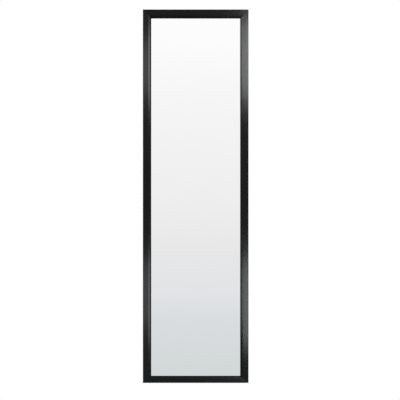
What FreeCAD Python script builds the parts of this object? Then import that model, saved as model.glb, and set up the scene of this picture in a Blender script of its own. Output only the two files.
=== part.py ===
import FreeCAD, Part
import math
import os
import re
import Sketcher

"""A pull out closet mirror, in millimetres.

A wall plate is screwed to the closet's side panel.  A full-extension ball slide on it
carries a folded swivel bracket out of the closet along +X, and the framed mirror turns
through a quarter circle on an upright pin at the bracket's leading end.

The origin is on the closet panel, at the middle of the four fixing holes.  X runs out of
the closet, Z is up, and the object stands out from the panel along -Y.  "Depth" below is
the distance from the panel, so y is minus the depth.
"""

SIZES = {
    # The framed mirror, seen from its front
    "mirror_width": (355.6, "outer width of the frame"),
    "mirror_height": (1257.3, "outer height of the frame"),
    "frame_depth": (20.0, "front to back of the frame"),
    "stile_face": (27.8, "width of an upright from its outer edge to the glass"),
    "top_rail_face": (29.4, "height of the top rail from its outer edge to the glass"),
    "bottom_rail_face": (22.9, "height of the bottom rail"),
    # The section of the frame
    "slope_width": (5.2, "width of the shallow slope inside the flat front strip"),
    "slope_drop": (1.4, "fall of the shallow slope"),
    "lip_width": (4.1, "width of the steep slope next to the glass"),
    "lip_drop": (3.2, "fall of the steep slope"),
    "lip_foot": (1.6, "height of the foot that sits on the glass"),
    "lip_skin": (2.0, "front to back of the sloping skin"),
    "frame_wall": (1.5, "wall of the extrusion"),
    "edge_round": (0.6, "radius of the extrusion's two outer edges"),
    "rebate_width": (7.0, "width of the rebate that takes the glass"),
    # What lies in the rebate
    "glass_thickness": (4.0, "silvered float glass"),
    "glass_play": (0.5, "room round the edge of the glass"),
    "glass_arris": (0.6, "ground edge of the glass"),
    "foam_thickness": (2.0, "foam sheet behind the glass"),
    "backing_thickness": (3.0, "hardboard back"),
    "clip_sheet": (0.8, "sheet of the backing clips"),
    "clip_width": (18.0, "height of a clip"),
    "clip_flange": (16.0, "length of the flange that lies on the frame"),
    "clip_foot": (8.0, "reach of the foot over the backing"),
    "clip_inset": (150.0, "distance of the end clips from the frame's ends"),
    "clip_play": (0.4, "room between a clip's leg and the frame"),
    # Corner keys
    "key_leg": (60.0, "length of a corner key's leg from the frame's corner"),
    "key_play": (0.2, "room round a key in its hollow"),
    "key_rib": (3.0, "wall round a key's lightening pocket"),
    "key_floor": (5.0, "thickness of a key under its pocket"),
    "key_screw_inset": (12.0, "screw's distance from the end of a leg"),
    "rail_screw_line": (9.5, "key screws' distance from a rail's outer edge"),
    # Fixing to the closet
    "plate_setback": (25.0, "how far the wall plate stops short of the slide's ends"),
    "plate_height": (110.0, "wall plate"),
    "plate_thickness": (2.5, "wall plate"),
    "plate_corner": (8.0, "corner radius of the wall plate"),
    "fixing_inset": (20.0, "distance of the fixing holes from the plate's ends"),
    "fixing_height": (84.0, "spacing of the fixing holes up Z"),
    "fixing_hole": (5.5, "diameter of a fixing hole"),
    # The slide
    "slide_inset": (2.8, "how far the closed slide stays inside the mirror's edges"),
    "slide_height": (45.7, "height of the outer member"),
    "slide_depth": (12.7, "closed depth of the slide"),
    "slide_sheet": (1.2, "sheet of the members"),
    "slide_bend": (0.6, "inner radius of the members' bends"),
    "channel_clear": (0.6, "how far the outer and middle members' edges stay behind its face"),
    "channel_lip": (1.0, "inward lip of those edges"),
    "web_gap": (0.4, "gap between one web, cage or rivet head and the next"),
    "middle_setback": (2.0, "how far the middle member stops short of the front"),
    "stop_width": (10.0, "width of the tabs that end the cages' travel"),
    "stop_length": (2.5, "length of the front tabs"),
    "stop_setback": (12.0, "distance of the front tabs from the middle member's end"),
    "ball_diameter": (4.0, "balls"),
    "ball_play": (0.15, "room between a ball and its groove or its cage"),
    "race_depth": (0.35, "depth of the ball grooves in the members' flanges"),
    "outer_ball_rise": (3.0, "distance of the outer balls from the middle member's rear"),
    "inner_ball_fall": (3.7, "distance of the inner balls from the slide's face"),
    "ball_pitch": (14.0, "spacing of the balls"),
    "cage_margin": (10.0, "least distance of a ball from its cage's end"),
    "cage_sheet": (0.5, "sheet of the cages"),
    "cage_beyond": (2.6, "reach of a cage's flanges past its balls"),
    "bumper_length": (6.0, "rubber stop in the rear of the slide"),
    "rest_gap": (0.3, "gap at a soft stop when the mirror is put away"),
    # Rivets between plate and slide
    "rivet_shank": (4.5, "diameter"),
    "rivet_sink": (8.0, "diameter of the countersunk head"),
    "rivet_sink_depth": (1.75, "depth of the countersunk head"),
    "rivet_head": (7.0, "diameter of the flat head in the slide"),
    "rivet_head_height": (0.7, "height of that head"),
    "rivet_margin": (55.0, "distance of the end rivets from the slide's ends"),
    "rivet_play": (0.05, "room round a rivet"),
    # The swivel
    "bracket_thickness": (2.5, "steel of the swivel bracket"),
    "bracket_arm": (115.0, "length of the bracket along the slide"),
    "arm_height": (38.0, "height of the bracket's arm"),
    "strip_width": (34.0, "width of the bracket's upright strip"),
    "strip_corner": (9.0, "inside corner between the arm and the strip"),
    "lug_radius": (7.0, "half width of a lug"),
    "lug_reach": (90.0, "height of the bracket's lugs above and below the slide"),
    "lug_bend": (1.0, "inner radius where a lug is folded"),
    "hinge_gap": (0.3, "gap between a lug and the plate it turns past"),
    "edge_inset": (0.5, "how far the lugs stay inside the frame's edge"),
    "leaf_thickness": (2.0, "steel of the hinge leaf"),
    "leaf_width": (20.0, "width of the hinge leaf"),
    "leaf_screw_margin": (20.0, "distance of its end screws from the bracket's lugs"),
    "pin_diameter": (6.0, "swivel pin"),
    "pin_play": (0.05, "radial clearance of the pin"),
    "pin_head": (11.0, "diameter of the pin's head"),
    "pin_head_height": (2.5, "height of the pin's head"),
    "pin_tail": (3.0, "reach of the pin past the lowest lug"),
    "bush_diameter": (9.0, "sleeve of a nylon bush"),
    "bush_flange": (12.0, "diameter of a bush's flange"),
    "bush_flange_thickness": (1.3, "thickness of a bush's flange"),
    "running_gap": (0.2, "gap between faces that turn on each other"),
    "washer_diameter": (11.0, "coned washer"),
    "washer_height": (1.3, "height of the coned washer"),
    "washer_sheet": (0.6, "sheet of the coned washer"),
    "ring_diameter": (11.0, "retaining ring"),
    "ring_thickness": (0.8, "retaining ring"),
    "ring_gap": (4.0, "opening of the retaining ring"),
    "groove_diameter": (4.6, "groove of the retaining ring"),
    # Screws
    "machine_shank": (4.0, "bracket screws"),
    "machine_head": (7.5, "bracket screws"),
    "machine_head_height": (2.4, "bracket screws"),
    "machine_length": (6.0, "bracket screws"),
    "machine_inset": (14.0, "distance of the last ones from the arm's tail"),
    "machine_pitch_x": (46.0, "spacing along the arm"),
    "machine_pitch_z": (13.0, "spacing up the arm"),
    "tapping_shank": (3.5, "screws in the frame"),
    "tapping_head": (6.8, "screws in the frame"),
    "tapping_head_height": (2.0, "screws in the frame"),
    "tapping_length": (7.0, "screws in the frame"),
    "screw_play": (0.05, "room round a screw's shank"),
    "recess_span": (3.4, "length of a cross recess"),
    "recess_slot": (0.9, "width of a cross recess"),
    "recess_depth": (1.2, "depth of a cross recess"),
    "head_round": (1.2, "rounding of a pan head"),
    # The foot that the free stile rests on
    "foot_base": (13.0, "diameter at the slide"),
    "foot_tip": (10.0, "diameter at the mirror"),
    "foot_bore": (7.4, "bore for the screw's head"),
    "foot_bore_depth": (9.0, "depth of that bore"),
    "foot_screw_length": (13.0, "shank of the foot's screw"),
}

FRONT = "XZ_Plane"
SIDE = "YZ_Plane"
TOP = "XY_Plane"

document = FreeCAD.newDocument("PullOutClosetMirror")
sheet = document.addObject("Spreadsheet::Sheet", "Sizes")
for row, (alias, (millimetres, note)) in enumerate(SIZES.items(), 1):
    sheet.set(f"A{row}", note)
    sheet.set(f"B{row}", str(millimetres))
    sheet.setAlias(f"B{row}", alias)
document.recompute()

# Places that several pieces share, as expressions of the sizes.
SLIDE_FRONT = "(plate_thickness + slide_depth)"
BRACKET_FRONT = f"({SLIDE_FRONT} + bracket_thickness)"
AXIS_X = "(mirror_width / 2 - edge_inset - lug_radius)"
AXIS_DEPTH = f"({BRACKET_FRONT} + hinge_gap + lug_radius)"
LEAF_REAR = f"({AXIS_DEPTH} + lug_radius + hinge_gap)"
MIRROR_BACK = f"({LEAF_REAR} + leaf_thickness)"
MIRROR_FRONT = f"({MIRROR_BACK} + frame_depth)"

LUG_STEP = "(running_gap + bush_flange_thickness)"
UPPER_LUG_TOP = "lug_reach"
LOWER_LUG_TOP = "(-lug_reach + bracket_thickness)"
LEAF_TOP = f"({UPPER_LUG_TOP} + {LUG_STEP} + leaf_thickness)"
LEAF_BOTTOM = f"({LOWER_LUG_TOP} + {LUG_STEP})"

BOX_WIDTH = "(stile_face - rebate_width)"
FACE_FLAT = "(stile_face - slope_width - lip_width)"
HOLLOW_FALL = "(slope_drop * frame_wall / slope_width)"
GLASS_INSET = "(slope_drop + lip_drop + lip_foot)"
GLASS_FRONT = f"({MIRROR_FRONT} - {GLASS_INSET})"
GLASS_BACK = f"({GLASS_FRONT} - glass_thickness)"
FOAM_BACK = f"({GLASS_BACK} - foam_thickness)"
BACKING_BACK = f"({FOAM_BACK} - backing_thickness)"
TOP_STRETCH = "(top_rail_face / stile_face)"
BOTTOM_STRETCH = "(bottom_rail_face / stile_face)"

# The slide's webs and cages, one behind the other, and its two lines of balls.
CHANNEL_EDGE = f"({SLIDE_FRONT} - channel_clear)"
OUTER_CAGE_WEB = "(plate_thickness + slide_sheet + rivet_head_height + web_gap)"
MIDDLE_WEB = f"({OUTER_CAGE_WEB} + cage_sheet + web_gap)"
INNER_CAGE_WEB = f"({MIDDLE_WEB} + slide_sheet + web_gap)"
INNER_EDGE = f"({INNER_CAGE_WEB} + cage_sheet + web_gap)"
OUTER_BALL_LINE = f"({MIDDLE_WEB} + outer_ball_rise)"
INNER_BALL_LINE = f"({SLIDE_FRONT} - inner_ball_fall)"

# From a ball's centre to the face of the flange that it runs on.
BALL_TO_FACE = "(ball_diameter / 2 + ball_play - race_depth)"
OUTER_HALF = "(slide_height / 2)"
OUTER_BALL_HEIGHT = f"({OUTER_HALF} - slide_sheet - {BALL_TO_FACE})"
MIDDLE_HALF = f"({OUTER_BALL_HEIGHT} - {BALL_TO_FACE})"
INNER_BALL_HEIGHT = f"({MIDDLE_HALF} - slide_sheet - {BALL_TO_FACE})"
INNER_HALF = f"({INNER_BALL_HEIGHT} - {BALL_TO_FACE})"

# The slide along X.  It opens by its closed length, the middle member half as far, and a
# cage half as far again.  A cage runs between a rear tongue and a front tab.
SLIDE_END = "(mirror_width / 2 - slide_inset)"
SLIDE_REAR = "(slide_inset - mirror_width / 2)"
MEMBER_REAR = f"({SLIDE_REAR} + bumper_length + rest_gap)"
CAGE_TRAVEL = f"({SLIDE_END} - {SLIDE_REAR}) / 4"
CAGE_REAR = f"({MEMBER_REAR} + slide_sheet + rest_gap + {CAGE_TRAVEL})"
CAGE_STOP = f"({SLIDE_END} - middle_setback - stop_setback - stop_length)"
CAGE_FRONT = f"({CAGE_STOP} - rest_gap - {CAGE_TRAVEL})"
FOOT_X = f"({MEMBER_REAR} + foot_base / 2)"

BRACKET_LEAD = f"({AXIS_X} + lug_radius)"
BRACKET_TAIL = f"({BRACKET_LEAD} - bracket_arm)"
CLIP_X = f"(mirror_width / 2 - {BOX_WIDTH} / 2)"
CLIP_COUNT = 4
CLIP_PITCH = f"((mirror_height - 2 * clip_inset) / {CLIP_COUNT - 1})"
LOWEST_CLIP = "(clip_inset - mirror_height / 2)"
CLIP_ROW = [("Z_Axis", CLIP_COUNT, f"{CLIP_COUNT - 1} * {CLIP_PITCH}")]


def bound(expression):
    """The expression with each size pointed at its cell."""
    def cell(word):
        return "Sizes." + word.group() if word.group() in SIZES else word.group()
    return re.sub(r"[a-z_]+", cell, expression)


def measure(expression):
    """The expression's value at the sizes in the sheet."""
    return float(sheet.evalExpression(expression))


def new_body(name):
    body = document.addObject("PartDesign::Body", name)
    body.Label = name
    return body


def origin_part(body, role):
    """The origin plane or axis of a body that has the given role."""
    return [part for part in body.Origin.OriginFeatures if part.Role == role][0]


def new_sketch(body, plane, offset="0"):
    """An empty sketch on an origin plane of the body, moved along the plane's normal."""
    sketch = body.newObject("Sketcher::SketchObject", f"{body.Name}_sketch")
    sketch.AttachmentSupport = [(origin_part(body, plane), "")]
    sketch.MapMode = "FlatFace"
    sketch.setExpression("AttachmentOffset.Base.z", bound(offset))
    return sketch


def tie_point(sketch, curve, point, across, up):
    """Hold a curve's point at two distances from the sketch's origin."""
    for kind, distance in (("DistanceX", across), ("DistanceY", up)):
        rule = Sketcher.Constraint(kind, -1, 1, curve, point, measure(distance))
        number = sketch.addConstraint(rule)
        sketch.setExpression(f"Constraints[{number}]", bound(distance))


def draw_outline(sketch, corners):
    """A closed outline through corners that are given as pairs of expressions."""
    places = [FreeCAD.Vector(measure(across), measure(up), 0) for across, up in corners]
    first = sketch.GeometryCount
    total = len(places)
    for number, place in enumerate(places):
        sketch.addGeometry(Part.LineSegment(place, places[(number + 1) % total]))
    for number, (across, up) in enumerate(corners):
        following = first + (number + 1) % total
        sketch.addConstraint(Sketcher.Constraint("Coincident", first + number, 2, following, 1))
        tie_point(sketch, first + number, 1, across, up)


def draw_rectangle(sketch, left, right, low, high):
    draw_outline(sketch, [(left, low), (right, low), (right, high), (left, high)])


def draw_circle(sketch, across, up, diameter):
    centre = FreeCAD.Vector(measure(across), measure(up), 0)
    normal = FreeCAD.Vector(0, 0, 1)
    curve = sketch.addGeometry(Part.Circle(centre, normal, measure(diameter) / 2))
    tie_point(sketch, curve, 3, across, up)
    number = sketch.addConstraint(Sketcher.Constraint("Diameter", curve, measure(diameter)))
    sketch.setExpression(f"Constraints[{number}]", bound(diameter))


def add_pad(body, sketch, length):
    """Extrude a sketch along its plane's normal and join it to the body."""
    pad = body.newObject("PartDesign::Pad", f"{body.Name}_pad")
    pad.Profile = sketch
    pad.setExpression("Length", bound(length))
    document.recompute()
    return pad


def add_pocket(body, sketch, length=None, forward=True):
    """Cut a sketch out of the body, right through or to a length, and check that it cut."""
    document.recompute()
    before = body.Shape.Volume
    pocket = body.newObject("PartDesign::Pocket", f"{body.Name}_pocket")
    pocket.Profile = sketch
    pocket.Reversed = forward
    if length is None:
        pocket.Type = "ThroughAll"
    else:
        pocket.setExpression("Length", bound(length))
    document.recompute()
    if not body.Shape.Volume < before:
        raise RuntimeError(f"a pocket of {body.Name} cuts nothing")


def add_turning(body, plane, offset, axis_at, profile, kind="Revolution"):
    """Turn a profile of (radius, height) corners about a line parallel to the plane's Y."""
    sketch = new_sketch(body, plane, offset)
    draw_outline(sketch, [(f"{axis_at} + {radius}", height) for radius, height in profile])
    heights = [height for radius, height in profile]
    ends = [FreeCAD.Vector(measure(axis_at), measure(height), 0)
            for height in (min(heights, key=measure), max(heights, key=measure))]
    axis = sketch.addGeometry(Part.LineSegment(ends[0], ends[1]), True)
    tie_point(sketch, axis, 1, axis_at, min(heights, key=measure))
    tie_point(sketch, axis, 2, axis_at, max(heights, key=measure))
    document.recompute()
    before = body.Shape.Volume if kind == "Groove" else 0
    turning = body.newObject(f"PartDesign::{kind}", f"{body.Name}_turning")
    turning.Profile = sketch
    turning.ReferenceAxis = (sketch, ["Axis0"])
    turning.Angle = 360
    document.recompute()
    if kind == "Groove" and not body.Shape.Volume < before:
        raise RuntimeError(f"a groove of {body.Name} cuts nothing")


def add_fillet(body, radius, wanted):
    """Round the edges of the body that the test picks."""
    base = body.Tip
    names = [f"Edge{number}" for number, edge in enumerate(body.Shape.Edges, 1) if wanted(edge)]
    if not names:
        raise RuntimeError(f"{body.Name} has no edge to round")
    fillet = body.newObject("PartDesign::Fillet", f"{body.Name}_fillet")
    fillet.Base = (base, names)
    fillet.setExpression("Radius", bound(radius))
    document.recompute()


def runs_along(axis, places):
    """A test for straight edges along X, Y or Z through one of the places across it."""
    across = [number for number in range(3) if number != "XYZ".index(axis)]
    targets = [[measure(distance) for distance in place] for place in places]

    def wanted(edge):
        if edge.Curve.TypeId != "Part::GeomLine":
            return False
        for target in targets:
            misses = [abs(vertex.Point[number] - target[place])
                      for vertex in edge.Vertexes for place, number in enumerate(across)]
            if max(misses) < 1e-4:
                return True
        return False
    return wanted


def is_rim(diameter, axis, height):
    """A test for circular edges of a diameter at a height along an axis."""
    number = "XYZ".index(axis)

    def wanted(edge):
        if edge.Curve.TypeId != "Part::GeomCircle":
            return False
        return (abs(edge.Curve.Radius - measure(diameter) / 2) < 1e-4
                and abs(edge.Curve.Center[number] - measure(height)) < 1e-4)
    return wanted


def repeat(body, rows=(), mirrors=()):
    """Copy the whole body in rows of (axis, count, span) and across origin planes."""
    copies = body.newObject("PartDesign::MultiTransform", f"{body.Name}_copies")
    copies.TransformMode = "Whole shape"
    steps = []
    for axis, count, span in rows:
        row = body.newObject("PartDesign::LinearPattern", f"{body.Name}_row")
        row.Direction = (origin_part(body, axis), [""])
        row.Occurrences = count
        row.setExpression("Length", bound(span))
        steps.append(row)
    for plane in mirrors:
        mirror = body.newObject("PartDesign::Mirrored", f"{body.Name}_mirror")
        mirror.MirrorPlane = (origin_part(body, plane), [""])
        steps.append(mirror)
    copies.Transformations = steps
    body.Tip = copies
    document.recompute()


def row_of(count, pitch):
    """The places of a centred row, as expressions."""
    return [f"({number} - {(count - 1) / 2}) * {pitch}" for number in range(count)]


def add_cross_recess(body, across, up, head_top, facing_front):
    """The cross recess of a screw that faces the room or the closet panel."""
    sketch = new_sketch(body, FRONT, head_top)
    far = "recess_span / 2"
    near = "recess_slot / 2"
    corners = [(far, near), (near, near), (near, far), (f"-{near}", far), (f"-{near}", near),
               (f"-{far}", near), (f"-{far}", f"-{near}"), (f"-{near}", f"-{near}"),
               (f"-{near}", f"-{far}"), (near, f"-{far}"), (near, f"-{near}"), (far, f"-{near}")]
    draw_outline(sketch, [(f"{across} + {x}", f"{up} + {z}") for x, z in corners])
    add_pocket(body, sketch, "recess_depth", forward=not facing_front)


def add_screw(body, across, up, seat, kind, length, facing_front):
    """A pan-head screw along Y whose head bears on a face at the seat's depth."""
    outward = "+" if facing_front else "-"
    inward = "-" if facing_front else "+"
    head_top = f"({seat} {outward} {kind}_head_height)"
    tip = f"({seat} {inward} {length})"
    profile = [("0", f"-({tip})"), (f"{kind}_shank / 2", f"-({tip})"),
               (f"{kind}_shank / 2", f"-({seat})"), (f"{kind}_head / 2", f"-({seat})"),
               (f"{kind}_head / 2", f"-({head_top})"), ("0", f"-({head_top})")]
    add_turning(body, TOP, up, across, profile)
    add_fillet(body, "head_round", is_rim(f"{kind}_head", "Y", f"-({head_top})"))
    add_cross_recess(body, across, up, head_top, facing_front)


def drill(body, centres, diameter, start, length=None):
    """Round holes along Y, from a depth towards the front."""
    sketch = new_sketch(body, FRONT, start)
    for across, up in centres:
        draw_circle(sketch, across, up, diameter)
    add_pocket(body, sketch, length)


# ---- The wall plate and its rivets ----

RIVET_COUNT = 5
RIVET_SPAN = f"(2 * ({SLIDE_END} - rivet_margin))"
RIVET_PLACES = [(place, "0") for place in row_of(RIVET_COUNT, f"{RIVET_SPAN} / {RIVET_COUNT - 1}")]
PLATE_END = f"({SLIDE_END} - plate_setback)"
FIXING_PLACES = [(f"{x} * ({PLATE_END} - fixing_inset)", f"{z} * fixing_height / 2")
                 for x in (-1, 1) for z in (-1, 1)]


def make_wall_plate():
    body = new_body("wall_plate")
    sketch = new_sketch(body, FRONT)
    draw_rectangle(sketch, f"-{PLATE_END}", PLATE_END, "-plate_height / 2", "plate_height / 2")
    add_pad(body, sketch, "plate_thickness")
    corners = [(f"{x} * {PLATE_END}", f"{z} * plate_height / 2")
               for x in (-1, 1) for z in (-1, 1)]
    add_fillet(body, "plate_corner", runs_along("Y", corners))
    drill(body, FIXING_PLACES, "fixing_hole", "0")
    drill(body, RIVET_PLACES, "rivet_shank + 2 * rivet_play", "0")
    sink = [("0", "0"), ("rivet_sink / 2 + rivet_play", "0"),
            ("rivet_shank / 2 + rivet_play", "-rivet_sink_depth"), ("0", "-rivet_sink_depth")]
    for across, up in RIVET_PLACES:
        add_turning(body, TOP, up, across, sink, kind="Groove")
    return body


def make_slide_rivets():
    body = new_body("slide_rivets")
    seat = "(plate_thickness + slide_sheet)"
    profile = [("0", "0"), ("rivet_sink / 2", "0"), ("rivet_shank / 2", "-rivet_sink_depth"),
               ("rivet_shank / 2", f"-{seat}"), ("rivet_head / 2", f"-{seat}"),
               ("rivet_head / 2", f"-({seat} + rivet_head_height)"),
               ("0", f"-({seat} + rivet_head_height)")]
    add_turning(body, TOP, "0", f"(-{RIVET_SPAN} / 2)", profile)
    repeat(body, rows=[("X_Axis", RIVET_COUNT, RIVET_SPAN)])
    return body


# ---- The slide ----

def add_channel(body, start, end, half, web, edge, metal, lip=None, inward="+"):
    """A channel along X, from start to end and half its height above and below the slide.

    web is the depth of its web's outer face and edge that of its open edges, which lie
    inward of the web and may have a lip.
    """
    outward = "-" if inward == "+" else "+"
    underside = f"({half} - {metal})"
    quarter = [(web, half), (edge, half)]
    if lip:
        quarter += [(edge, f"({underside} - {lip})"),
                    (f"({edge} {outward} {metal})", f"({underside} - {lip})"),
                    (f"({edge} {outward} {metal})", underside)]
    else:
        quarter += [(edge, underside)]
    quarter += [(f"({web} {inward} {metal})", underside)]
    corners = [(f"-({depth})", up) for depth, up in quarter]
    corners += [(f"-({depth})", f"-({up})") for depth, up in reversed(quarter)]
    sketch = new_sketch(body, SIDE, start)
    draw_outline(sketch, corners)
    add_pad(body, sketch, f"{end} - {start}")


def round_channel(body, half, web, edge, lipped, inward="+"):
    """Round the bends of a member of the slide, inside and outside."""
    outside = [(web, half)]
    inside = [(f"({web} {inward} slide_sheet)", f"({half} - slide_sheet)")]
    if lipped:
        outside.append((edge, half))
        inside.append((f"({edge} - slide_sheet)", f"({half} - slide_sheet)"))
    for places, radius in ((outside, "slide_bend + slide_sheet"), (inside, "slide_bend")):
        both = [(f"-({depth})", f"{side} * {up}") for depth, up in places for side in (-1, 1)]
        add_fillet(body, radius, runs_along("X", both))


def cut_race(body, start, ball_line, ball_height):
    """The two grooves of a member in which the balls of one line run."""
    sketch = new_sketch(body, SIDE, start)
    for side in (-1, 1):
        draw_circle(sketch, f"-{ball_line}", f"{side} * {ball_height}",
                    "ball_diameter + 2 * ball_play")
    add_pocket(body, sketch)


def add_stop(body, start, length, low, high):
    """A tab or tongue between two depths that a cage meets at the end of its travel."""
    sketch = new_sketch(body, SIDE, start)
    draw_rectangle(sketch, f"-{high}", f"-{low}", "-stop_width / 2", "stop_width / 2")
    add_pad(body, sketch, length)


def make_outer_slide_member():
    body = new_body("outer_slide_member")
    add_channel(body, SLIDE_REAR, SLIDE_END, OUTER_HALF, "plate_thickness", CHANNEL_EDGE,
                "slide_sheet", "channel_lip")
    round_channel(body, OUTER_HALF, "plate_thickness", CHANNEL_EDGE, lipped=True)
    cut_race(body, SLIDE_REAR, OUTER_BALL_LINE, OUTER_BALL_HEIGHT)
    add_stop(body, CAGE_STOP, "stop_length", "plate_thickness", f"({OUTER_CAGE_WEB} + cage_sheet)")
    drill(body, RIVET_PLACES, "rivet_shank + 2 * rivet_play", "0")
    return body


def make_middle_slide_member():
    body = new_body("middle_slide_member")
    add_channel(body, MEMBER_REAR, f"({SLIDE_END} - middle_setback)", MIDDLE_HALF, MIDDLE_WEB,
                CHANNEL_EDGE, "slide_sheet", "channel_lip")
    round_channel(body, MIDDLE_HALF, MIDDLE_WEB, CHANNEL_EDGE, lipped=True)
    cut_race(body, MEMBER_REAR, OUTER_BALL_LINE, OUTER_BALL_HEIGHT)
    cut_race(body, MEMBER_REAR, INNER_BALL_LINE, INNER_BALL_HEIGHT)
    add_stop(body, MEMBER_REAR, "slide_sheet", OUTER_CAGE_WEB, f"({MIDDLE_WEB} + slide_sheet)")
    add_stop(body, CAGE_STOP, "stop_length", MIDDLE_WEB, f"({INNER_CAGE_WEB} + cage_sheet)")
    return body


BRACKET_SCREWS = [(f"({BRACKET_TAIL} + machine_inset + {step} * machine_pitch_x)",
                   f"{side} * machine_pitch_z / 2") for step in (0, 1) for side in (-1, 1)]


def make_inner_slide_member():
    """The channel that faces the other way: its web carries the bracket and the foot."""
    body = new_body("inner_slide_member")
    add_channel(body, MEMBER_REAR, SLIDE_END, INNER_HALF, SLIDE_FRONT, INNER_EDGE,
                "slide_sheet", inward="-")
    round_channel(body, INNER_HALF, SLIDE_FRONT, INNER_EDGE, lipped=False, inward="-")
    cut_race(body, MEMBER_REAR, INNER_BALL_LINE, INNER_BALL_HEIGHT)
    add_stop(body, MEMBER_REAR, "slide_sheet", INNER_CAGE_WEB, SLIDE_FRONT)
    drill(body, BRACKET_SCREWS, "machine_shank + 2 * screw_play", "0")
    drill(body, [(FOOT_X, "0")], "tapping_shank + 2 * screw_play", "0")
    return body


BALL_COUNT = 1 + math.floor(
    measure(f"({CAGE_FRONT} - {CAGE_REAR} - 2 * cage_margin) / ball_pitch"))
FIRST_BALL = f"(({CAGE_REAR} + {CAGE_FRONT}) / 2 - {(BALL_COUNT - 1) / 2} * ball_pitch)"


def make_ball_cage(name, web, ball_line, ball_height):
    """A thin channel with a window for each ball of its two rows."""
    body = new_body(name)
    half = f"({ball_height} + cage_sheet / 2)"
    add_channel(body, CAGE_REAR, CAGE_FRONT, half, web, f"({ball_line} + cage_beyond)",
                "cage_sheet")
    sketch = new_sketch(body, TOP, f"-{half}")
    for number in range(BALL_COUNT):
        draw_circle(sketch, f"{FIRST_BALL} + {number} * ball_pitch", f"-{ball_line}",
                    "ball_diameter + 2 * ball_play")
    add_pocket(body, sketch)
    return body


def make_balls(name, ball_line, ball_height):
    """The two rows of balls of a cage."""
    body = new_body(name)
    ball = body.newObject("PartDesign::AdditiveSphere", f"{name}_ball")
    ball.setExpression("Radius", bound("ball_diameter / 2"))
    ball.setExpression("Placement.Base.x", bound(FIRST_BALL))
    ball.setExpression("Placement.Base.y", bound(f"-{ball_line}"))
    ball.setExpression("Placement.Base.z", bound(ball_height))
    document.recompute()
    repeat(body, rows=[("X_Axis", BALL_COUNT, f"{BALL_COUNT - 1} * ball_pitch")],
           mirrors=[TOP])
    return body


def make_slide_end_bumper():
    body = new_body("slide_end_bumper")
    sketch = new_sketch(body, SIDE, SLIDE_REAR)
    half = f"({OUTER_HALF} - slide_sheet - rest_gap)"
    back = "(plate_thickness + slide_sheet)"
    front = f"({CHANNEL_EDGE} - slide_sheet - rest_gap)"
    draw_rectangle(sketch, f"-{front}", f"-{back}", f"-{half}", half)
    add_pad(body, sketch, "bumper_length")
    edges = [(f"-{depth}", f"{side} * {half}") for depth in (back, front) for side in (-1, 1)]
    add_fillet(body, "slide_bend + rest_gap", runs_along("X", edges))
    return body


# ---- The swivel ----

def add_folded_strip(body, plate_rear, plate_front, sheet_size, low, high, towards_panel):
    """An upright strip at the swivel with a round-ended lug folded from each end.

    The plate lies between two depths and its lugs reach from it to the swivel's axis.
    """
    sketch = new_sketch(body, SIDE, f"{AXIS_X} - lug_radius")
    back, bend = (plate_front, plate_rear) if towards_panel else (plate_rear, plate_front)
    low_inside = f"({low} + {sheet_size})"
    high_inside = f"({high} - {sheet_size})"
    corners = [(back, low), (back, high), (AXIS_DEPTH, high), (AXIS_DEPTH, high_inside),
               (bend, high_inside), (bend, low_inside), (AXIS_DEPTH, low_inside),
               (AXIS_DEPTH, low)]
    draw_outline(sketch, [(f"-({depth})", up) for depth, up in corners])
    add_pad(body, sketch, "2 * lug_radius")
    outside = [(f"-({back})", low), (f"-({back})", high)]
    inside = [(f"-({bend})", low_inside), (f"-({bend})", high_inside)]
    add_fillet(body, f"lug_bend + {sheet_size}", runs_along("X", outside))
    add_fillet(body, "lug_bend", runs_along("X", inside))
    for start in (low, high_inside):
        end = new_sketch(body, TOP, start)
        draw_circle(end, AXIS_X, f"-{AXIS_DEPTH}", "2 * lug_radius")
        add_pad(body, end, sheet_size)


def bore_lugs(body, low, diameter):
    """The upright hole through both lugs."""
    sketch = new_sketch(body, TOP, low)
    draw_circle(sketch, AXIS_X, f"-{AXIS_DEPTH}", diameter)
    add_pocket(body, sketch)


def make_swivel_bracket():
    body = new_body("swivel_bracket")
    add_folded_strip(body, SLIDE_FRONT, BRACKET_FRONT, "bracket_thickness",
                     "-lug_reach", UPPER_LUG_TOP, towards_panel=False)
    sketch = new_sketch(body, FRONT, SLIDE_FRONT)
    strip = f"({BRACKET_LEAD} - strip_width)"
    tall = "(lug_reach - bracket_thickness - lug_bend)"
    draw_outline(sketch, [(BRACKET_LEAD, f"-{tall}"), (BRACKET_LEAD, tall), (strip, tall),
                          (strip, "arm_height / 2"), (BRACKET_TAIL, "arm_height / 2"),
                          (BRACKET_TAIL, "-arm_height / 2"), (strip, "-arm_height / 2"),
                          (strip, f"-{tall}")])
    add_pad(body, sketch, "bracket_thickness")
    inner_corners = [(strip, f"{side} * arm_height / 2") for side in (-1, 1)]
    outer_corners = [(BRACKET_TAIL, f"{side} * arm_height / 2") for side in (-1, 1)]
    outer_corners += [(strip, f"{side} * {tall}") for side in (-1, 1)]
    add_fillet(body, "strip_corner", runs_along("Y", inner_corners))
    add_fillet(body, "strip_corner / 2", runs_along("Y", outer_corners))
    bore_lugs(body, "-lug_reach", "pin_diameter + 2 * pin_play")
    drill(body, BRACKET_SCREWS, "machine_shank + 2 * screw_play", SLIDE_FRONT)
    return body


def make_bracket_screws():
    body = new_body("bracket_screws")
    for across, up in BRACKET_SCREWS:
        add_screw(body, across, up, BRACKET_FRONT, "machine", "machine_length",
                  facing_front=True)
    return body


LEAF_SCREW_COUNT = 6
LEAF_SCREW_SPAN = "(2 * (lug_reach - leaf_screw_margin))"
LEAF_SCREWS = [(CLIP_X, place)
               for place in row_of(LEAF_SCREW_COUNT, f"{LEAF_SCREW_SPAN} / {LEAF_SCREW_COUNT - 1}")]


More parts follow.
